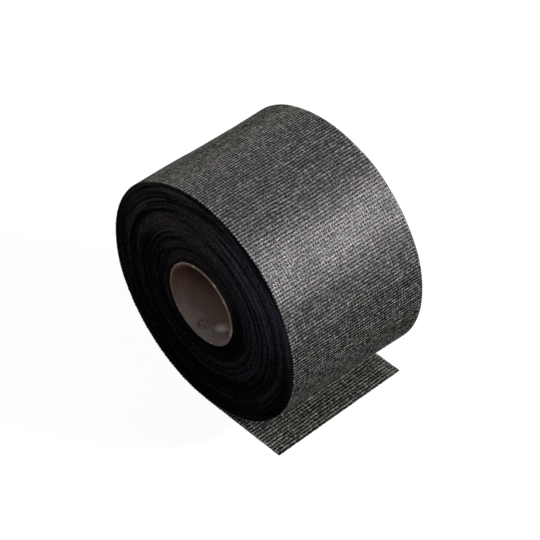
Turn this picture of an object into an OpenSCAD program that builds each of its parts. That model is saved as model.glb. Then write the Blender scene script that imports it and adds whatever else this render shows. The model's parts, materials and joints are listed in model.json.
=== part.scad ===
// Roll of asphalt saturated fabric: one long strip of open woven cotton, soaked in asphalt and
// wound on a cardboard tube. It lies on its side. The roll's axis is along Y, the floor is z = 0,
// the roll rests on x = 0, and the free end comes out from under it towards +X.

/* [Fabric] */
// Width of the woven strip
fabric_w = 101.6; // [75:0.1:155]
// Thickness of the saturated strip, which is also the pitch of its turns
fabric_t = 0.39; // [0.3:0.01:0.6]
// Outer diameter of the wound roll
roll_d = 160; // [120:1:200]

/* [Free end] */
// Reach of the free end past the line that the roll rests on, at its -Y corner
tail_near = 64; // [30:0.5:75]
// Reach of the free end at its +Y corner, which is less because the cut isn't square
tail_far = 60.5; // [30:0.5:75]
// Width of the strip where the roll's weight presses its last turns onto the free end
nip_w = 6; // [3:0.5:10]

/* [Winding] */
// How much further towards -Y the innermost turns stand than the outermost ones
telescope = 0.9; // [0:0.1:1]
// Sideways wander of the turns to either side
wander = 0.25; // [0.05:0.05:0.4]

/* [Core tube] */
// Bore of the cardboard tube
core_bore = 52; // [25:0.5:76]
// Wall of the cardboard tube
core_wall = 1.75; // [1:0.05:5]
// How far the tube stands out past the strip's width at each end
core_proud = 1.5; // [0:0.1:5]

/* [Hidden] */
$fn = 180;

roll_r = roll_d / 2;
core_r = core_bore / 2 + core_wall;
core_l = fabric_w + 2 * core_proud;

// The last two turns are a spiral, so that the outermost one leaves the roll as the free end.
// The turns inside them are rings on one turned solid.
spiral_turns = 2;
ring_r = roll_r - spiral_turns * fabric_t;
rings = floor((ring_r - core_r) / fabric_t);

// Sideways shift of a turn, counted from the core: a steady creep and three waves, each with its
// period in turns, its share of the wander and its phase in degrees.
waves = [[23, 0.5, 40], [7.3, 0.3, 110], [2.6, 0.2, 0]];
function wave(turn, w) = w[1] * sin(360 * turn / w[0] + w[2]);
function turn_shift(turn) =
    telescope * (turn / rings - 0.5)
    + wander * (wave(turn, waves[0]) + wave(turn, waves[1]) + wave(turn, waves[2]));

// Inner radius of a ring: the innermost ring takes up what is left over next to the tube.
function inner_r(turn) = turn == 0 ? core_r : ring_r - (rings - turn) * fabric_t;

// Section of the rings, radius by distance along the axis: every turn keeps the strip's width and
// lies a little to one side of its neighbours, so the turns show as steps on both ends.
ring_section = concat(
    [for (i = [0 : rings - 1], r = [inner_r(i), inner_r(i + 1)]) [r, fabric_w / 2 + turn_shift(i)]],
    [for (i = [rings - 1 : -1 : 0], r = [inner_r(i + 1), inner_r(i)]) [r, turn_shift(i) - fabric_w / 2]]
);

// Moves a solid turned about Z to the roll's axis
module on_roll_axis() {
    translate([0, 0, roll_r]) rotate([-90, 0, 0]) children();
}

module rings() {
    on_roll_axis() rotate_extrude() polygon(ring_section);
}

// End view of the roll's outline, x by z, drawn from two centres: the +X half is half a thickness
// smaller and rests on the free end, the -X half rests on the floor, and they meet at the top.
module spiral_outline() {
    intersection() {
        translate([0, roll_r]) circle(roll_r);
        translate([-roll_d, 0]) square([roll_d, roll_d]);
    }
    intersection() {
        translate([0, roll_r + fabric_t / 2]) circle(roll_r - fabric_t / 2);
        square(roll_d);
    }
    square([nip_w / 2, 2 * fabric_t]);
}

// The spiral reaches half a thickness into the outermost ring, so the two are one body.
module spiral() {
    rotate([90, 0, 0]) linear_extrude(fabric_w, center = true) difference() {
        spiral_outline();
        translate([0, roll_r]) circle(ring_r - fabric_t / 2);
    }
}

module free_end() {
    linear_extrude(fabric_t) polygon([
        [0, -fabric_w / 2], [tail_near, -fabric_w / 2], [tail_far, fabric_w / 2], [0, fabric_w / 2]
    ]);
}

module wound_fabric() {
    color([0.13, 0.13, 0.13]) {
        rings();
        translate([0, turn_shift(rings), 0]) {
            spiral();
            free_end();
        }
    }
}

module core_tube() {
    color([0.52, 0.4, 0.3]) on_roll_axis() difference() {
        cylinder(h = core_l, r = core_r, center = true);
        cylinder(h = core_l + 1, d = core_bore, center = true);
    }
}

wound_fabric();
core_tube();
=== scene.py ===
"""The looks of a roll of asphalt saturated fabric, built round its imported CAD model, in metres."""

import json
import math

import bpy
import numpy as np
from mathutils import Matrix, Quaternion, Vector


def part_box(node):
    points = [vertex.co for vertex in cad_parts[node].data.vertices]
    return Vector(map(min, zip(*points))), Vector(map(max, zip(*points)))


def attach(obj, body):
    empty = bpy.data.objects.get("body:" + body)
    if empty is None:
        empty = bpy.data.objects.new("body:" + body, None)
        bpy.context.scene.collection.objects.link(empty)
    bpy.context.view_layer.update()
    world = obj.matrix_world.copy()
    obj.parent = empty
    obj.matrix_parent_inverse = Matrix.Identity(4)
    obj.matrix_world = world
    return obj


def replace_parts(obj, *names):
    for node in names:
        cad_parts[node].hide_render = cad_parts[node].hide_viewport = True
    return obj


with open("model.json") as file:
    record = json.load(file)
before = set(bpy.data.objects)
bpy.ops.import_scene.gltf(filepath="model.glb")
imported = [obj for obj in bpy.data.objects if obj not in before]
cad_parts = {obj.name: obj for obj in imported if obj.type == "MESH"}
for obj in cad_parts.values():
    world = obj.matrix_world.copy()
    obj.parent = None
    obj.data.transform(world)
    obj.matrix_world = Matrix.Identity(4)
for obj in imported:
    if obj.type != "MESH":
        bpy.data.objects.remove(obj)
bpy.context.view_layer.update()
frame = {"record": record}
MM = 0.001

# --- Sizes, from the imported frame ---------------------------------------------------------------
FABRIC_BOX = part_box("wound_fabric")
TUBE_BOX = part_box("core_tube")
ROLL_R = FABRIC_BOX[1].z / 2
TUBE_R = (TUBE_BOX[1].z - TUBE_BOX[0].z) / 2
TUBE_L = TUBE_BOX[1].y - TUBE_BOX[0].y
BORE_R = next(m for m in frame["record"]["mounts"] if m["name"] == "core_bore")["dims"]["r_mm"] * MM

# --- The strip, as the CAD source has it --------------------------------------------------------
FABRIC_W = 101.6 * MM
FABRIC_T = 0.39 * MM
TAIL_NEAR = 64 * MM
TAIL_FAR = 60.5 * MM
TELESCOPE = 0.9 * MM  # shift along the axis from the innermost turn to the outermost
WANDER = 0.25 * MM
WAVES = ((23, 0.5, 40), (7.3, 0.3, 110), (2.6, 0.2, 0))  # period in turns, share, phase in degrees
TURNS = round((ROLL_R - TUBE_R) / FABRIC_T)

# --- The weave's mesh: weft ribs lie across the strip, warp threads run along it ----------------
RIB_PITCH = 2.15 * MM
WARPS = 106
RIB_SAMPLES = 4
WARP_SAMPLES = 2
RIBS_ROUND = round(2 * math.pi * ROLL_R / RIB_PITCH)
RIBS_TAIL = 27
GAP_DEPTH = 0.18 * MM  # from the ribs' crowns down to the gaps between them
BRIDGE = 0.10 * MM  # how far the warp pairs rise out of the gaps
HOLE = 0.08 * MM  # how far the holes between the pairs lie below the gaps
BEAD = 0.04 * MM  # how far the crossings stand out of the ribs
BEAD_SPREAD = (0.0, 2.0)
RIB_SPREAD = (0.8, 1.1)
RIB_WANDER = 0.45 * MM
RIB_WAVER = 0.16 * MM
WARP_WANDER = 0.18 * MM

# --- The outermost turn -------------------------------------------------------------------------
PUCKERS = (24, 4)  # round the roll, along it
PUCKER_NEAR = 0.21 * MM
PUCKER_FAR = 0.48 * MM
FADE_SAMPLES = 40  # puckers and wandering ribs start and stop over this many rows
WEFT_ENDS = (0.05 * MM, 0.35 * MM)
FAR_WEFT_ENDS = 0.3
EDGE_DROP = 0.12 * MM
EDGE_DOWN = np.array([0.26, 0.46]) * MM  # the two columns that turn down at each edge
EDGE_INWARD = np.array([0.02, 0.25]) * MM

# --- The free end -------------------------------------------------------------------------------
TAIL_START = -2 * MM  # a little behind the line that the roll rests on
TAIL_WEFT_ENDS = (0.0, 0.35 * MM)
CUT_FRAY = (-0.12 * MM, 0.18 * MM)
STRAIGHT_RIBS = 3  # the last ribs before the cut wander less and less
HEM = 0.25  # the underside lifts by this share of the strip's thickness beside its edges

# --- The turns' edges on both ends --------------------------------------------------------------
EDGE_STEPS = 240
TURN_GROUPS = ((1.3, 0.05 * MM), (3.3, 0.11 * MM), (9.0, 0.26 * MM))  # spacing in turns, reach
STAND_OUT = 0.75 * MM  # how far the innermost turn stands out of the near end
LEAN = 0.25  # where the crest lies between one crease and the next
CREST_JITTER = 0.05 * MM
CREASE_DEPTH = (0.08 * MM, 0.20 * MM)

# --- The tube -----------------------------------------------------------------------------------
TUBE_STEPS = 180
BORE_STEPS = 60
BEVEL = 0.25 * MM
SOFT_EDGE = 0.04 * MM
SOFT_END = 0.08 * MM
# marks on the bore's wall, near the near mouth
SCUFF = (2.5 * MM, -39 * MM, 54 * MM)
SCUFF_REACH = 8 * MM
STAIN = (-7 * MM, -45.6 * MM, 55 * MM)
STAIN_REACH = 5.5 * MM

# --- Light and view -----------------------------------------------------------------------------
WORLD = 0.05
FLOOR = 0.12
FLOOR_GLOW = 0.92
FLOOR_SIZE = 6.0
LAMPS = (  # name, direction from the roll's middle, distance, size, watts, spin on its own axis
    ("key", (0.68, 0.53, 0.50), 1.6, (0.7, 0.22), 35.5, math.radians(-55)),
    ("front", (0.3, -0.5, 0.81), 1.8, (0.5, 0.5), 12, 0.0),
    ("back", (-0.85, 0.3, 0.43), 1.6, (0.9, 0.9), 8.5, 0.0),
)
# The camera looks down on the near end and the free end, turned a little on its own axis.
VIEW_AZIMUTH = math.radians(49.6)
VIEW_ELEVATION = math.radians(42.06)
VIEW_ROLL = math.radians(2.16)
VIEW_DISTANCE = 23.0 * ROLL_R
SENSOR_WIDTH = 36.0  # this and the focal length are in millimetres, as Blender has them
FOCAL_LENGTH = 206.7
AIM_RIGHT = 1.76 * MM
AIM_DOWN = 3.92 * MM


def turn_shift(turn):
    """How far a turn, counted from the tube, is shifted along the roll's axis."""
    waves = 0
    for period, share, phase in WAVES:
        waves = waves + share * np.sin(2 * np.pi * turn / period + np.radians(phase))
    return TELESCOPE * (turn / (TURNS - 2) - 0.5) + WANDER * waves


def outline_radius(theta):
    """The roll's radius about its axis where the angle from +X is theta, from -90 to 270 degrees."""
    return np.where(theta < np.pi / 2, ROLL_R - FABRIC_T / 2 + FABRIC_T / 2 * np.sin(theta), ROLL_R)


def soft_noise(rng, shape, cells):
    """Random values from -1 to 1 over a grid, changing smoothly over this many cells each way."""
    knots = rng.uniform(-1, 1, (cells[0] + 2, cells[1] + 2))
    steps = []
    for count, size in zip(cells, shape):
        at = np.linspace(0, count, size)
        low = at.astype(int)
        part = at - low
        steps.append((low, part * part * (3 - 2 * part)))
    (i, a), (j, b) = steps
    rows = knots[:, j] * (1 - b) + knots[:, j + 1] * b
    a = a[:, None]
    return rows[i] * (1 - a) + rows[i + 1] * a


# --- Meshes from grids of points ----------------------------------------------------------------
def on_roll(radius, theta, y):
    """Points at this radius and angle about the roll's axis, this far along it."""
    return np.stack([radius * np.cos(theta), y, ROLL_R + radius * np.sin(theta)], -1)


def vertex_normals(points):
    """Normals of a grid of points, from its central differences."""
    along, across = np.gradient(points, axis=0), np.gradient(points, axis=1)
    n = np.cross(along, across)
    return n / np.maximum(np.linalg.norm(n, axis=2, keepdims=True), 1e-12)


def quads_of(rows, columns):
    """Vertex numbers of the quads of a grid whose vertices are numbered row by row."""
    i, j = np.meshgrid(np.arange(rows - 1), np.arange(columns - 1), indexing="ij")
    corner = (i * columns + j).ravel()
    return np.stack([corner, corner + columns, corner + columns + 1, corner + 1], 1)


def grid_uv(across, along):
    """One UV a point of a grid: the first changes from row to row, the second from column to column."""
    return np.stack(np.broadcast_arrays(across[:, None], along[None, :]), 2)


def make_piece(name, points, quads, uv, material, normals=None, smooth=True):
    """A piece of the object from arrays: points, quads, and one UV and normal a point."""
    mesh = bpy.data.meshes.new(name)
    mesh.vertices.add(points.size // 3)
    mesh.vertices.foreach_set("co", np.ascontiguousarray(points, np.float32).ravel())
    mesh.loops.add(quads.size)
    mesh.loops.foreach_set("vertex_index", quads.ravel().astype(np.int32))
    mesh.polygons.add(len(quads))
    mesh.polygons.foreach_set("loop_start", np.arange(0, quads.size, 4, dtype=np.int32))
    mesh.polygons.foreach_set("use_smooth", np.full(len(quads), smooth))
    layer = mesh.uv_layers.new(name="threads")
    layer.data.foreach_set("uv", uv.reshape(-1, 2)[quads.ravel()].astype(np.float32).ravel())
    mesh.update(calc_edges=True)
    mesh.validate()
    if normals is not None:
        mesh.normals_split_custom_set_from_vertices(normals.reshape(-1, 3).tolist())
    piece = bpy.data.objects.new(name, mesh)
    bpy.context.scene.collection.objects.link(piece)
    mesh.materials.append(material)
    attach(piece, "root")
    return piece


# --- Nodes --------------------------------------------------------------------------------------
class Nodes:
    """Short calls for building the nodes of a material or of the world."""

    def __init__(self, tree):
        self.tree = tree

    def put(self, socket, value):
        if isinstance(value, bpy.types.NodeSocket):
            self.tree.links.new(value, socket)
        else:
            socket.default_value = value

    def add(self, kind, inputs=(), output=0, **settings):
        node = self.tree.nodes.new(kind)
        for key, value in settings.items():
            setattr(node, key, value)
        for key, value in dict(inputs).items():
            self.put(node.inputs[key], value)
        return node.outputs[output]

    def math(self, operation, a, b=0.0, c=0.0, clamp=False):
        return self.add("ShaderNodeMath", {0: a, 1: b, 2: c}, operation=operation, use_clamp=clamp)

    def times(self, product, *factors):
        for factor in factors:
            product = self.math("MULTIPLY", product, factor)
        return product

    def scaled(self, value, gain, offset):
        return self.math("MULTIPLY_ADD", value, gain, offset)

    def ramp(self, value, low, high, to_low=0.0, to_high=1.0):
        return self.add("ShaderNodeMapRange", {0: value, 1: low, 2: high, 3: to_low, 4: to_high})

    def spread(self, value, amount):
        """A factor from 1 - amount to 1 + amount, as the value goes from 0 to 1."""
        return self.scaled(value, 2 * amount, 1 - amount)

    def spread_noise(self, noise, amount, half_span=0.15):
        """A factor from 1 - amount to 1 + amount, as a noise goes through the middle of its range."""
        return self.ramp(noise, 0.5 - half_span, 0.5 + half_span, 1 - amount, 1 + amount)

    def mix(self, factor, a, b, blend="MIX"):
        node = self.tree.nodes.new("ShaderNodeMix")
        node.data_type, node.blend_type = "RGBA", blend
        for key, value in ((0, factor), (6, a), (7, b)):
            self.put(node.inputs[key], value)
        return node.outputs[2]

    def noise(self, vector, scale, detail, roughness):
        inputs = {"Vector": vector, "Scale": scale, "Detail": detail, "Roughness": roughness}
        return self.add("ShaderNodeTexNoise", inputs)

    def random(self, x, y=0.0, z=0.0):
        """A random value from 0 to 1 that stays the same for the same three numbers."""
        return self.add("ShaderNodeTexWhiteNoise", {"Vector": self.vector(x, y, z)}, noise_dimensions="3D")

    def vector(self, x, y=0.0, z=0.0):
        return self.add("ShaderNodeCombineXYZ", {0: x, 1: y, 2: z})

    def split(self, vector):
        node = self.tree.nodes.new("ShaderNodeSeparateXYZ")
        self.tree.links.new(vector, node.inputs[0])
        return node.outputs

    def position(self):
        return self.add("ShaderNodeTexCoord", output="Object")

    def uv(self):
        return self.split(self.add("ShaderNodeTexCoord", output="UV"))[:2]

    def wave01(self, value):
        """1 at whole numbers and 0 half way between them."""
        return self.scaled(self.math("COSINE", self.times(value, 2 * math.pi)), 0.5, 0.5)

    def spot(self, place, centre, reach):
        """1 at a point of the object and 0 from this far away on."""
        away = {0: place, 1: centre}
        away = self.add("ShaderNodeVectorMath", away, output="Value", operation="DISTANCE")
        return self.ramp(away, 0.0, reach, 1.0, 0.0)

    def seen_ray(self):
        """1 for rays that show the surroundings, straight or in a reflection, and 0 for other light."""
        path = self.tree.nodes.new("ShaderNodeLightPath").outputs
        reflected = self.math("MAXIMUM", path["Is Glossy Ray"], path["Is Transmission Ray"])
        return self.math("MAXIMUM", path["Is Camera Ray"], reflected)


class Surface(Nodes):
    """A material with one Principled shader, and short calls for its nodes."""

    def __init__(self, name):
        self.material = bpy.data.materials.new(name)
        self.material.use_nodes = True
        super().__init__(self.material.node_tree)
        self.tree.nodes.clear()
        self.shader = self.tree.nodes.new("ShaderNodeBsdfPrincipled")
        output = self.tree.nodes.new("ShaderNodeOutputMaterial")
        self.tree.links.new(self.shader.outputs["BSDF"], output.inputs["Surface"])

    def set(self, **values):
        for key, value in values.items():
            self.put(self.shader.inputs[key.replace("_", " ")], value)

    def bump(self, height, strength, distance):
        inputs = {"Strength": strength, "Distance": distance, "Height": height}
        self.set(Normal=self.add("ShaderNodeBump", inputs))


def grey(level, tint=(0, 0, 0)):
    return (level + tint[0], level + tint[1], level + tint[2], 1.0)


# --- The woven fabric ---------------------------------------------------------------------------
CROWN = 0.150
# the free end's copy of the weave (CROWN_FREE_END, GAP_FREE_END, BRIDGED_FREE_END) has paler gaps and more
# pale bridges than the roll's low side: painted light on the free end
CROWN_FREE_END = 0.149
GAP = 0.025
# gaps blacker low on the roll: painted shade, which also dims their reflection of the floor
GAP_LOW = 0.009
GAP_FREE_END = 0.019
BRIDGED_LOW = 0.55
BRIDGED_FREE_END = 0.85
# PIT: painted shade in the holes between the warp pairs
PIT = 0.008
BARE_EDGE = 1.5
BARE_FIBRE = grey(0.5)
WARM = (0.016, 0.006, -0.030)  # tints that are added to the crowns' grey
COOL = (0.009, -0.016, 0.004)
GAP_GLOSS = 0.025
CROWN_GLOSS = 0.027
ROUGH = (0.27, 0.37)  # at the near side of the strip and at its far edge
SHEEN = 0.012
HEADROOM = 2  # no thread is paler than this many times the crowns' level
# What changes from low on the roll to high: from, to, and for some the values there.
UPWARD = (0.34, 0.94)  # shares of X and Z in what counts as height: up, and a little to the front
BRIDGED_HEIGHTS = (80 * MM, 130 * MM)
# GAP_HEIGHTS: gaps blacker low down, painted shade
GAP_HEIGHTS = (95 * MM, 145 * MM)
COOL_HEIGHTS = (60 * MM, 150 * MM)
STREAKS_BY_HEIGHT = (70 * MM, 115 * MM, 0.5, 0.3)
# the threads are paler low down
PALER_BY_HEIGHT = (70 * MM, 125 * MM, 1.22, 1.0)
# GLOSS_BY_HEIGHT: weaker gloss low down, painted shade on the reflection of the floor and free end
GLOSS_BY_HEIGHT = (50 * MM, 120 * MM, 0.6, 1.0)
BACK_FROM_TO = (-10 * MM, -32 * MM)
# painted sheen: the threads grow paler towards the back, standing in for a grazing reflection
PAINTED_BACK_SHEEN = 0.3
FAR_SIDE = (0.3 * WARPS, WARPS)
FAR_GLOSS = 1.25


class Threads:
    """Where a point lies in the weave: U counts the ribs, V the warp threads, which lie in pairs."""

    def __init__(self, m):
        self.u, self.v = m.uv()
        self.place = m.position()
        self.x, _, z = m.split(self.place)
        self.height = m.scaled(self.x, UPWARD[0], m.times(z, UPWARD[1]))
        # ribs and warp pairs both waver a little
        rib_at = m.math("ADD", self.u, m.scaled(m.noise(self.place, 260.0, 2.0, 0.6), 0.5, -0.25))
        pair_at = m.scaled(self.v, 0.5, m.scaled(m.noise(self.place, 300.0, 3.0, 0.7), 1.1, -0.55))
        self.rib = m.wave01(rib_at)
        self.hole = m.wave01(pair_at)
        # each thread, crossing, bridge and hole has random values of its own
        rib_no = m.math("FLOOR", m.math("ADD", self.u, 0.5))
        pair_no = m.math("FLOOR", m.times(self.v, 0.5))
        gap_no = m.math("FLOOR", rib_at)
        hole_no = m.math("FLOOR", m.math("ADD", pair_at, 0.5))
        self.random_crossing = m.random(rib_no, pair_no)
        self.random_rib = m.random(rib_no, 7.0, 3.0)
        self.random_hole = m.random(gap_no, hole_no, 4.0)
        self.random_bridge = m.random(gap_no, m.math("FLOOR", pair_at), 6.0)
        self.random_fibre = m.random(rib_no, pair_no, 9.0)
        self.crown = m.ramp(self.rib, 0.62, 0.98)


def weave_relief(m, at, bridged_low):
    """1 on the ribs' crowns and 0 in their gaps, which the warp pairs bridge, least of all low down."""
    bridged = m.ramp(at.height, *BRIDGED_HEIGHTS, bridged_low, 1.0)
    bridged = m.times(m.scaled(at.random_bridge, 0.46, 0.09), bridged)
    bridge = m.times(m.math("SUBTRACT", 1.0, at.hole), bridged)
    crown = m.times(at.crown, m.scaled(at.hole, -0.2, 1.0))
    return m.math("MAXIMUM", crown, bridge)


def weave_wear_and_sheen(m, at):
    """How pale the threads are, about 1 on the mean: worn asphalt, paler low down, and with a painted sheen
    towards the back.
    """
    wear = m.times(m.spread(at.random_crossing, 0.4), m.spread(at.random_rib, 0.25))
    # streaks along the strip, stronger low on the roll
    streak = m.noise(m.vector(m.times(at.u, 0.15), m.times(at.v, 0.5), 2.0), 1.0, 2.0, 0.7)
    streak = m.ramp(streak, 0.3, 0.7, -1.0, 1.0)
    wear = m.times(wear, m.scaled(streak, m.ramp(at.height, *STREAKS_BY_HEIGHT), 1.0))
    wear = m.times(wear, m.spread_noise(m.noise(at.place, 850.0, 1.0, 0.5), 0.8, 0.2))
    # the last threads at both edges of the strip are the barest
    from_middle = m.math("ABSOLUTE", m.math("SUBTRACT", at.v, WARPS / 2))
    wear = m.times(wear, m.ramp(from_middle, WARPS / 2 - 1.6, WARPS / 2 - 0.6, 1.0, BARE_EDGE))
    # paler low down
    wear = m.times(wear, m.ramp(at.height, *PALER_BY_HEIGHT))
    # paler towards the back: painted sheen of a grazing reflection
    return m.times(wear, m.scaled(m.ramp(at.x, *BACK_FROM_TO), PAINTED_BACK_SHEEN, 1.0))


def weave_colour(m, at, paleness, gap, crown_level):
    """Black gaps and pale crowns, warmer low down and at the back, with pits painted dark as shade in the
    holes, and bare fibres.
    """
    hue = m.scaled(m.noise(at.place, 60.0, 4.0, 0.7), 3.6, -1.8)
    hue = m.math("SUBTRACT", hue, m.ramp(at.x, *BACK_FROM_TO))
    cool = m.math("ADD", m.ramp(at.height, *COOL_HEIGHTS), hue, clamp=True)
    crown_colour = m.mix(cool, grey(HEADROOM * crown_level, WARM), grey(HEADROOM * crown_level, COOL))
    colour = m.mix(paleness, m.add("ShaderNodeCombineColor", {0: gap, 1: gap, 2: gap}), crown_colour)
    # the holes between the pairs are painted dark: painted shade in the holes
    pit = m.times(m.ramp(at.hole, 0.3, 0.9), m.ramp(at.rib, 0.6, 0.2))
    colour = m.mix(m.times(pit, m.ramp(at.random_hole, 0.3, 0.8)), colour, grey(PIT))
    fibre = m.times(at.crown, m.ramp(at.hole, 0.5, 0.1))
    fibre = m.times(m.ramp(at.random_fibre, 0.996, 0.999), fibre, 0.5)
    return m.mix(fibre, colour, BARE_FIBRE)


def weave_gloss(m, at, relief):
    """Gloss nearly the same on crowns and in gaps, whatever their colour, glinting from grain to grain."""
    gloss = m.ramp(relief, 0.0, 1.0, GAP_GLOSS, CROWN_GLOSS)
    gloss = m.times(gloss, m.spread_noise(m.noise(at.place, 700.0, 1.0, 0.5), 0.7))
    gloss = m.times(gloss, m.spread_noise(m.noise(at.place, 40.0, 2.0, 0.6), 0.2))
    # weaker gloss low on the roll is painted shade on its reflection of the floor and free end, and the far
    # edge is a little glossier than the near one
    gloss = m.times(gloss, m.ramp(at.height, *GLOSS_BY_HEIGHT))
    return m.times(gloss, m.ramp(at.v, *FAR_SIDE, 1.0, FAR_GLOSS))


def woven_material(name, crown_level, gap_low, bridged_low):
    """The weave of the outer turn and the free end."""
    m = Surface(name)
    at = Threads(m)
    relief = weave_relief(m, at, bridged_low)
    # how pale the threads are: worn, paler low down, and with the painted sheen towards the back
    paleness = m.times(relief, m.times(weave_wear_and_sheen(m, at), 1 / HEADROOM))
    # gaps blacker low on the roll: painted shade on their reflection of the floor
    gap = m.ramp(at.height, *GAP_HEIGHTS, gap_low, GAP)
    m.set(Base_Color=weave_colour(m, at, paleness, gap, crown_level))
    level = m.scaled(paleness, m.math("SUBTRACT", HEADROOM * crown_level, gap), gap)
    m.set(Metallic=m.math("DIVIDE", weave_gloss(m, at, relief), level, clamp=True))
    m.set(Roughness=m.scaled(at.random_crossing, 0.1, m.ramp(at.v, *FAR_SIDE, *ROUGH)))
    m.set(Specular_Tint=grey(0.0), Specular_IOR_Level=SHEEN)
    m.bump(m.noise(at.place, 800.0, 4.0, 0.75), 1.0, 0.20 * MM)
    return m.material


# --- The cut edges of the turns -----------------------------------------------------------------
# painted shade in the creases between the turns
CREASE = grey(0.001)
EDGE_WARM = (0.150, 0.125, 0.131, 1)
# painted cool light: the end faces turn bluish towards +X
EDGE_COOL = (0.100, 0.093, 0.126, 1)
CREST_AT = 0.57
# painted light from above: the end faces are lighter towards the top and darker below
PAINTED_TOP_LIGHT = (82 * MM, 130 * MM, 0.17, 0.56)
PAINTED_TOP_LIGHT_LEAN = 0.1
EDGE_COOL_FROM_TO = (-15 * MM, 45 * MM)
EDGE_CLOUD = 60 * MM
BANDS_ROUND = 14.0


def edge_material():
    """Cut edges of the turns on the roll's ends: U counts the turns, V the ribs along them."""
    m = Surface("asphalt_edges")
    u, v = m.uv()
    place = m.position()
    x, _, z = m.split(place)
    turn_no = m.math("FLOOR", u)
    tone = m.spread(m.random(turn_no, 2.0), 0.4)
    # groups of turns are lighter or darker, partly their own tone and partly painted light on ridges and
    # painted shade in grooves, and each group fades in and out round the roll
    round_x, round_z = m.times(x, BANDS_ROUND), m.times(z, BANDS_ROUND)
    band = m.noise(m.vector(m.times(u, 0.06), round_x, round_z), 1.0, 1.0, 0.6)
    ring = m.noise(m.vector(m.scaled(u, 0.16, 40.0), round_x, round_z), 1.0, 2.0, 0.7)
    tone = m.times(tone, m.spread_noise(band, 0.5), m.spread_noise(ring, 0.85, 0.14))
    rib_end = m.random(turn_no, m.math("FLOOR", v))
    tone = m.times(tone, m.scaled(m.math("POWER", rib_end, 3.0), 2.4, 0.5))
    tone = m.times(tone, m.spread_noise(m.noise(place, 600.0, 2.0, 0.6), 0.7, 0.2))
    # painted light from above, lighter towards the top of the end faces
    tone = m.times(tone, m.ramp(m.scaled(x, PAINTED_TOP_LIGHT_LEAN, z), *PAINTED_TOP_LIGHT))
    # painted cool light, bluish towards +X with an uneven edge
    cloud = m.scaled(m.noise(place, 25.0, 3.0, 0.6), EDGE_CLOUD, -EDGE_CLOUD / 2)
    cool = m.ramp(m.math("ADD", x, cloud), *EDGE_COOL_FROM_TO)
    # darker towards each crease and near black in it: painted shade between the turns
    crest = m.wave01(m.math("SUBTRACT", u, CREST_AT))
    m.set(Base_Color=m.mix(m.times(crest, tone), CREASE, m.mix(cool, EDGE_WARM, EDGE_COOL)))
    m.set(Roughness=0.7, Specular_IOR_Level=0.0)
    m.bump(m.noise(place, 1800.0, 3.0, 0.6), 0.6, 0.1 * MM)
    return m.material


# --- The tube's cardboard -----------------------------------------------------------------------
BROWN = (0.116, 0.060, 0.034, 1)
GREY_BROWN = (0.066, 0.050, 0.047, 1)
# DEEP_BROWN: painted shade deep in the bore
DEEP_BROWN = (0.062, 0.037, 0.028, 1)
LIGHTER = (1.6, 1.6, 1.6, 1)
RUBBED = (0.20, 0.17, 0.155, 1)
# FOOT: painted light on the floor of the bore near its mouth
FOOT = (0.200, 0.155, 0.138, 1)
SCUFFED = (0.30, 0.295, 0.305, 1)
STAINED = (0.025, 0.021, 0.022, 1)
DIRT = (0.045, 0.036, 0.030, 1)
LIP = (0.50, 0.43, 0.35, 1)
CHIPPED = (0.50, 0.45, 0.40, 1)


def bore_paper(m, place, inside, cloud, blotch):
    """Grey-brown paper, redder up the wall, darker and redder deep inside as painted shade, and mottled."""
    _, _, z = m.split(place)
    paper = m.mix(m.ramp(z, ROLL_R - 14 * MM, ROLL_R), GREY_BROWN, BROWN)
    # darker deep in the bore: painted shade
    paper = m.mix(m.ramp(inside, 9 * MM, 20 * MM), paper, DEEP_BROWN)
    light = m.mix(1.0, paper, LIGHTER, "MULTIPLY")
    fibre = m.noise(place, 900.0, 4.0, 0.7)
    paper = m.mix(m.ramp(cloud, 0.4, 0.65, 0.0, 0.5), paper, light)
    paper = m.mix(m.ramp(blotch, 0.4, 0.65, 0.0, 0.4), paper, light)
    return m.mix(m.ramp(fibre, 0.4, 0.7, 0.0, 0.5), paper, light)


def bore_marks_and_painted_light(m, paper, place, inside, blotch, fleck):
    """The wall rubbed near the mouth, pale at its foot with painted light on the bore's floor, with a scuff
    and a stain.
    """
    _, _, z = m.split(place)
    rubbed = m.times(m.ramp(inside, 14 * MM, 4 * MM), m.ramp(fleck, 0.56, 0.68, 0.0, 0.45))
    paper = m.mix(rubbed, paper, RUBBED)
    # painted light falling on the bore's floor near the mouth
    foot = m.times(m.ramp(inside, 13 * MM, 3 * MM, 0.0, 0.65), m.ramp(z, ROLL_R, ROLL_R - 18 * MM))
    paper = m.mix(foot, paper, FOOT)
    scuff = m.math("SUBTRACT", m.spot(place, SCUFF, SCUFF_REACH), 0.75)
    scuff = m.math("MULTIPLY", m.scaled(blotch, 0.9, scuff), 1.5, clamp=True)
    paper = m.mix(scuff, paper, SCUFFED)
    stain = m.ramp(m.spot(place, STAIN, STAIN_REACH), 0.0, 0.5)
    return m.mix(m.times(stain, m.ramp(fleck, 0.46, 0.56, 0.0, 0.8)), paper, STAINED)


def cut_end(m, paper, place, cloud, fleck):
    """The dirty cut end with a pale worn lip and chips, where V is 0.3 and more and 1 at the outer lip."""
    v = m.uv()[1]
    paper = m.mix(m.ramp(v, 0.3, 0.4, 0.0, 0.6), paper, DIRT)
    paleness = m.times(m.ramp(v, 0.7, 1.0), m.ramp(cloud, 0.38, 0.62, 0.3, 1.0))
    paleness = m.times(paleness, m.ramp(fleck, 0.35, 0.6, 0.5, 1.0))
    paper = m.mix(paleness, paper, LIP)
    chip = m.ramp(m.noise(place, 160.0, 3.0, 0.7), 0.54, 0.62)
    return m.mix(m.times(m.ramp(v, 0.35, 0.4, 0.0, 0.7), chip), paper, CHIPPED)


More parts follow.
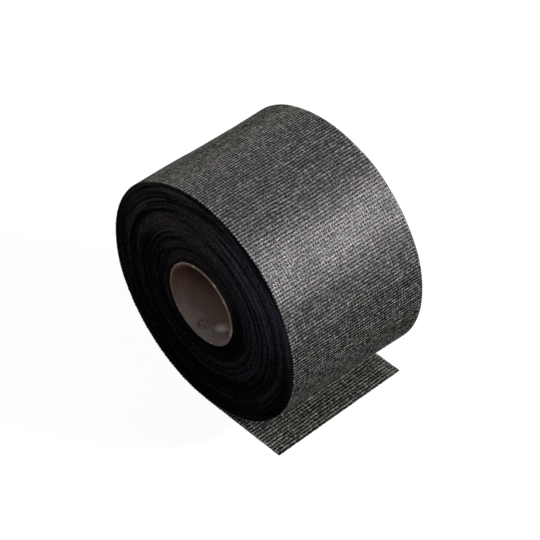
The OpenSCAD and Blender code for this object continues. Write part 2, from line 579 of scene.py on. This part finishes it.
def cardboard_material():
    """The tube's paper: its bore with rubs and marks, and its cut ends."""
    m = Surface("cardboard")
    place = m.position()
    _, y, _ = m.split(place)
    cloud = m.noise(place, 60.0, 4.0, 0.6)
    blotch = m.noise(place, 260.0, 3.0, 0.6)
    fleck = m.noise(place, 420.0, 2.0, 0.6)
    # depth in the tube from the nearer mouth, made uneven
    inside = m.math("SUBTRACT", TUBE_L / 2, m.math("ABSOLUTE", y))
    inside = m.scaled(m.math("SUBTRACT", cloud, 0.5), 20 * MM, inside)
    paper = bore_paper(m, place, inside, cloud, blotch)
    paper = bore_marks_and_painted_light(m, paper, place, inside, blotch, fleck)
    m.set(Base_Color=cut_end(m, paper, place, cloud, fleck))
    m.set(Roughness=0.75, Specular_IOR_Level=0.3)
    m.bump(blotch, 0.5, 0.12 * MM)
    return m.material


# --- Pieces of the strip ------------------------------------------------------------------------
def rib_wave(u):
    """1 on the ribs and 0 half way between them."""
    return 0.5 + 0.5 * np.cos(2 * np.pi * u)


def weave_height(ribs, rng):
    """Counts of ribs and warp threads at every sample, and the woven surface's height from its crowns."""
    u = np.arange(ribs * RIB_SAMPLES + 1) / RIB_SAMPLES
    v = np.arange(WARPS * WARP_SAMPLES + 1) / WARP_SAMPLES
    rib = rib_wave(u)[:, None]
    in_pair = (0.5 - 0.5 * np.cos(np.pi * v))[None, :]
    rib_no = np.floor(u + 0.5).astype(int)
    pair_no = np.minimum(np.floor(v / 2).astype(int), WARPS // 2 - 1)
    loose = rng.uniform(*BEAD_SPREAD, (ribs + 2, WARPS // 2))[rib_no][:, pair_no]
    tall = rng.uniform(*RIB_SPREAD, ribs + 2)[rib_no][:, None]
    height = GAP_DEPTH * (np.sin(np.pi / 2 * rib) * tall - 1)
    height = height + (BRIDGE * in_pair - HOLE * (1 - in_pair)) * (1 - rib)
    height = height + BEAD * rib * in_pair * loose
    return u, v, height


def threads_sideways(rng, rows, columns):
    """How far the ribs wander along the strip and the warp threads wander across it."""
    along = RIB_WANDER * soft_noise(rng, (rows, columns), (max(2, rows // 60), 4))
    along += RIB_WAVER * soft_noise(rng, (rows, columns), (max(2, rows // 5), 12))
    across = WARP_WANDER * soft_noise(rng, (rows, columns), (max(2, rows // 80), 40))
    return along, across


def weft_ends(rng, u, ribs, lengths):
    """How far the weft ends stand out of the strip's edge, a random length for each rib."""
    return rng.uniform(*lengths, ribs + 2)[np.floor(u + 0.5).astype(int)] * rib_wave(u)


def across_strip(v):
    """Where the warp threads lie across the strip."""
    return (v / WARPS - 0.5)[None, :] * FABRIC_W


def outer_turn(material):
    """The outermost turn in three lengths, each light enough for one piece."""
    rng = np.random.default_rng(11)
    u, v, height = weave_height(RIBS_ROUND, rng)
    rows, columns = height.shape
    along, across = threads_sideways(rng, rows, columns)
    fade = np.clip(np.minimum(np.arange(rows), np.arange(rows)[::-1]) / FADE_SAMPLES, 0, 1)[:, None]
    theta = -np.pi / 2 + 2 * np.pi * (u / RIBS_ROUND)[:, None] + along * fade / ROLL_R
    y = across_strip(v) + across
    # weft ends stand out of both edges, and the edges round off towards the turn below
    ends = weft_ends(rng, u, RIBS_ROUND, WEFT_ENDS)
    y[:, 0] -= ends
    y[:, -1] += FAR_WEFT_ENDS * ends
    height[:, [0, -1]] -= EDGE_DROP
    # two more columns at each edge turn down over the strip's thickness
    theta = np.concatenate([theta[:, [0, 0]], theta, theta[:, [-1, -1]]], 1)
    y = np.concatenate([(y[:, [0]] + EDGE_INWARD)[:, ::-1], y, y[:, [-1]] - EDGE_INWARD], 1)
    near_edge, far_edge = (height[:, [0]] - EDGE_DOWN)[:, ::-1], height[:, [-1]] - EDGE_DOWN
    height = np.concatenate([near_edge, height, far_edge], 1)
    v = np.concatenate([v[[0, 0]], v, v[[-1, -1]]])
    y = y + turn_shift(TURNS - 2)
    # the outer turn lies a little loose, in shallow puckers
    wider = (PUCKER_NEAR + (PUCKER_FAR - PUCKER_NEAR) * v / WARPS)[None, :]
    pucker = fade * wider * soft_noise(rng, height.shape, PUCKERS)
    points = on_roll(outline_radius(theta) + height + pucker, theta, y)
    points[..., 2] = np.maximum(points[..., 2], 0.0)
    normals = -vertex_normals(points)
    uv = grid_uv(u, v)
    third = rows // 3
    pieces = []
    for name, first in (("outer_turn_front", 0), ("outer_turn_top", third), ("outer_turn_back", 2 * third)):
        part = slice(first, first + third + 1)
        quads = quads_of(*points[part].shape[:2])[:, ::-1]
        piece = make_piece(name, points[part], quads, uv[part], material, normals[part])
        pieces.append(piece)
    return pieces


def free_end(material):
    """The flat end of the strip: a closed slab whose top is woven, with a ragged cut."""
    rng = np.random.default_rng(23)
    u, v, height = weave_height(RIBS_TAIL, rng)
    rows, columns = height.shape
    along, across = threads_sideways(rng, rows, columns)
    reach = TAIL_NEAR + (TAIL_FAR - TAIL_NEAR) * (v / WARPS)[None, :]
    x = TAIL_START + (reach - TAIL_START) * (u / RIBS_TAIL)[:, None]
    x += along * np.clip((RIBS_TAIL - u) / STRAIGHT_RIBS, 0, 1)[:, None]
    y = across_strip(v) + across
    ends = weft_ends(rng, u, RIBS_TAIL, TAIL_WEFT_ENDS)
    y[:, 0] -= ends
    y[:, -1] += ends
    # warp threads stand out of the cut by different lengths
    x[-1] += rng.uniform(*CUT_FRAY, columns)
    # top and bottom meet half way up along both edges and the cut
    top = FABRIC_T + height
    top[:, [0, -1]] = FABRIC_T / 2
    top[-1] = FABRIC_T / 2
    bottom = np.minimum(HEM * FABRIC_T, top / 2)
    bottom[:, [0, -1]] = FABRIC_T / 2
    bottom[-1] = FABRIC_T / 2
    bottom[2:-2, 2:-2] = 0.0
    y = y + turn_shift(TURNS - 2)
    points = np.concatenate([np.stack([x, y, z], 2).reshape(-1, 3) for z in (top, bottom)])
    quads = quads_of(rows, columns)
    quads = np.concatenate([quads, quads[:, ::-1] + rows * columns])
    uv = np.tile(grid_uv(u, v).reshape(-1, 2), (2, 1))
    piece = make_piece("free_end", points, quads, uv, material)
    return piece


def turn_edges(name, side, material):
    """The strip's edge wound from the tube outwards as one spiral, each turn sloping out to a crease."""
    rng = np.random.default_rng(31 if side < 0 else 37)
    turns = TURNS - 1
    count = turns * EDGE_STEPS
    k = np.arange(count + EDGE_STEPS + 1)
    turn = k / EDGE_STEPS
    theta = -np.pi / 2 + np.mod(2 * np.pi * k / EDGE_STEPS, 2 * np.pi)
    crease = np.maximum(outline_radius(theta) - (TURNS - np.floor(turn)) * FABRIC_T, TUBE_R)
    edge = side * FABRIC_W / 2 + turn_shift(turn)
    # single turns and groups of turns stand out by different amounts
    for spacing, reach in TURN_GROUPS:
        knots = np.arange(0, TURNS + 2 * spacing, spacing)
        edge += reach * np.interp(turn, knots, rng.uniform(-1, 1, len(knots)))
    if side < 0:
        edge -= STAND_OUT * (1 - turn / turns)
    crest_k = k[: count + 1]
    crest = crease[crest_k] + LEAN * (crease[crest_k + EDGE_STEPS] - crease[crest_k])
    crest_y = edge[crest_k] + side * CREST_JITTER * rng.uniform(-1, 1, count + 1)
    crease_y = edge - side * rng.uniform(*CREASE_DEPTH, len(edge))
    crease_points = on_roll(crease, theta, crease_y)
    points = np.concatenate([crease_points, on_roll(crest, theta[crest_k], crest_y)])
    first = len(crease_points)
    i = np.arange(count)
    inner = np.stack([i, i + 1, first + i + 1, first + i], 1)
    outer = np.stack([first + i, first + i + 1, i + 1 + EDGE_STEPS, i + EDGE_STEPS], 1)
    quads = np.concatenate([inner, outer])
    arc = np.cumsum(crease) * 2 * np.pi / EDGE_STEPS / RIB_PITCH
    crest_uv = np.stack([turn[crest_k] + LEAN, arc[crest_k]], 1)
    uv = np.concatenate([np.stack([turn, arc], 1), crest_uv])
    if side > 0:
        quads = quads[:, ::-1]
    return make_piece(name, points, quads, uv, material, smooth=False)


# --- The cardboard tube -------------------------------------------------------------------------
def paper_tube(material):
    """The tube as one turned ring, whose lips are a little soft and uneven."""
    rng = np.random.default_rng(41)
    half = TUBE_L / 2
    # radius, place along the tube, and V, which tells the cut end and its outer lip from the walls
    end = [
        (BORE_R, half - BEVEL, 0.3),
        (BORE_R + BEVEL, half, 0.4),
        (TUBE_R - 2 * BEVEL, half, 0.4),
        (TUBE_R - BEVEL, half, 1.0),
        (TUBE_R, half - BEVEL, 0.8),
        (TUBE_R, half - 0.8 * MM, 0.5),
        (TUBE_R, half - 3 * MM, 0.5),
    ]
    bore = np.linspace(-half + 2 * BEVEL, half - 2 * BEVEL, BORE_STEPS)
    profile = [(BORE_R, y, 0.0) for y in bore] + end
    profile += [(radius, -y, v) for radius, y, v in reversed(end)]
    profile.append(profile[0])
    r, y, rim = (np.array(column)[None, :] for column in zip(*profile))
    theta = np.linspace(0, 2 * np.pi, TUBE_STEPS + 1)
    rough = soft_noise(rng, (TUBE_STEPS + 1, len(profile)), (60, 8))
    rough[-1] = rough[0]
    r = r + SOFT_EDGE * rough * (rim > 0.5)
    y = y - np.sign(y) * SOFT_END * np.abs(rough) * (rim > 0.5)
    points = on_roll(r, theta[:, None], y)
    quads = quads_of(TUBE_STEPS + 1, len(profile))[:, ::-1]
    uv = grid_uv(theta / (2 * np.pi), rim[0])
    return make_piece("paper_tube", points, quads, uv, material)


# --- Stage --------------------------------------------------------------------------------------
def pale_material():
    """Glows nearly white where it is seen, and is dark grey to the light that it throws on the object."""
    m = Surface("pale_floor")
    m.set(Base_Color=grey(FLOOR), Roughness=1.0, Specular_IOR_Level=0.0)
    m.set(Emission_Color=grey(1.0), Emission_Strength=m.times(m.seen_ray(), FLOOR_GLOW))
    return m.material


def make_floor():
    """A wide square that catches the object's shadow."""
    mesh = bpy.data.meshes.new("floor")
    corners = [(x * FLOOR_SIZE, y * FLOOR_SIZE, 0) for x, y in ((-1, -1), (1, -1), (1, 1), (-1, 1))]
    mesh.from_pydata(corners, [], [(0, 1, 2, 3)])
    floor = bpy.data.objects.new("floor", mesh)
    bpy.context.scene.collection.objects.link(floor)
    mesh.materials.append(pale_material())


def make_world():
    """White where it is seen, and dim where it only lights the object."""
    world = bpy.data.worlds.new("studio")
    bpy.context.scene.world = world
    world.use_nodes = True
    nodes = Nodes(world.node_tree)
    background = world.node_tree.nodes["Background"]
    nodes.put(background.inputs["Color"], grey(1.0))
    nodes.put(background.inputs["Strength"], nodes.ramp(nodes.seen_ray(), 0.0, 1.0, WORLD, 1.0))


def soft_lamp(name, direction, distance, size, watts, spin):
    """A lamp in this direction from the roll's middle, facing it and turned by spin on its own axis."""
    lamp = bpy.data.lights.new(name, "AREA")
    lamp.shape, lamp.energy = "RECTANGLE", watts
    lamp.size, lamp.size_y = size
    holder = bpy.data.objects.new(name, lamp)
    bpy.context.scene.collection.objects.link(holder)
    away = Vector(direction).normalized()
    holder.location = Vector((0, 0, ROLL_R)) + away * distance
    holder.rotation_mode = "QUATERNION"
    holder.rotation_quaternion = away.to_track_quat("Z", "Y") @ Quaternion((0, 0, 1), spin)


def make_camera():
    """The camera, which takes in the roll as the photo does."""
    level = Vector((math.cos(VIEW_AZIMUTH), math.sin(VIEW_AZIMUTH), 0))
    ahead = Vector((-math.sin(VIEW_AZIMUTH), math.cos(VIEW_AZIMUTH), 0))
    forward = math.cos(VIEW_ELEVATION) * ahead - math.sin(VIEW_ELEVATION) * Vector((0, 0, 1))
    down = forward.cross(level)
    right = math.cos(VIEW_ROLL) * level + math.sin(VIEW_ROLL) * down
    up = math.sin(VIEW_ROLL) * level - math.cos(VIEW_ROLL) * down
    data = bpy.data.cameras.new("camera")
    data.sensor_width, data.lens = SENSOR_WIDTH, FOCAL_LENGTH
    data.clip_start, data.clip_end = 0.1, 50
    camera = bpy.data.objects.new("camera", data)
    bpy.context.scene.collection.objects.link(camera)
    aim = Vector((0, 0, ROLL_R)) + AIM_RIGHT * right - AIM_DOWN * up
    turn = Matrix((right, up, -forward)).transposed().to_4x4()
    camera.matrix_world = Matrix.Translation(aim - VIEW_DISTANCE * forward) @ turn
    bpy.context.scene.camera = camera


bpy.context.scene.view_settings.view_transform = "Standard"
make_camera()
make_world()
for lamp in LAMPS:
    soft_lamp(*lamp)
make_floor()

weave = woven_material("asphalt_weave", CROWN, GAP_LOW, BRIDGED_LOW)
# a paler copy of the weave for the free end: painted light
free_end_weave_painted_lighter = woven_material("asphalt_weave_painted_lighter", CROWN_FREE_END, GAP_FREE_END, BRIDGED_FREE_END)
edges = edge_material()
fabric = outer_turn(weave)
fabric.append(free_end(free_end_weave_painted_lighter))
fabric.append(turn_edges("turn_edges_near", -1, edges))
fabric.append(turn_edges("turn_edges_far", 1, edges))
for piece in fabric:
    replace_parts(piece, "wound_fabric")
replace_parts(paper_tube(cardboard_material()), "core_tube")
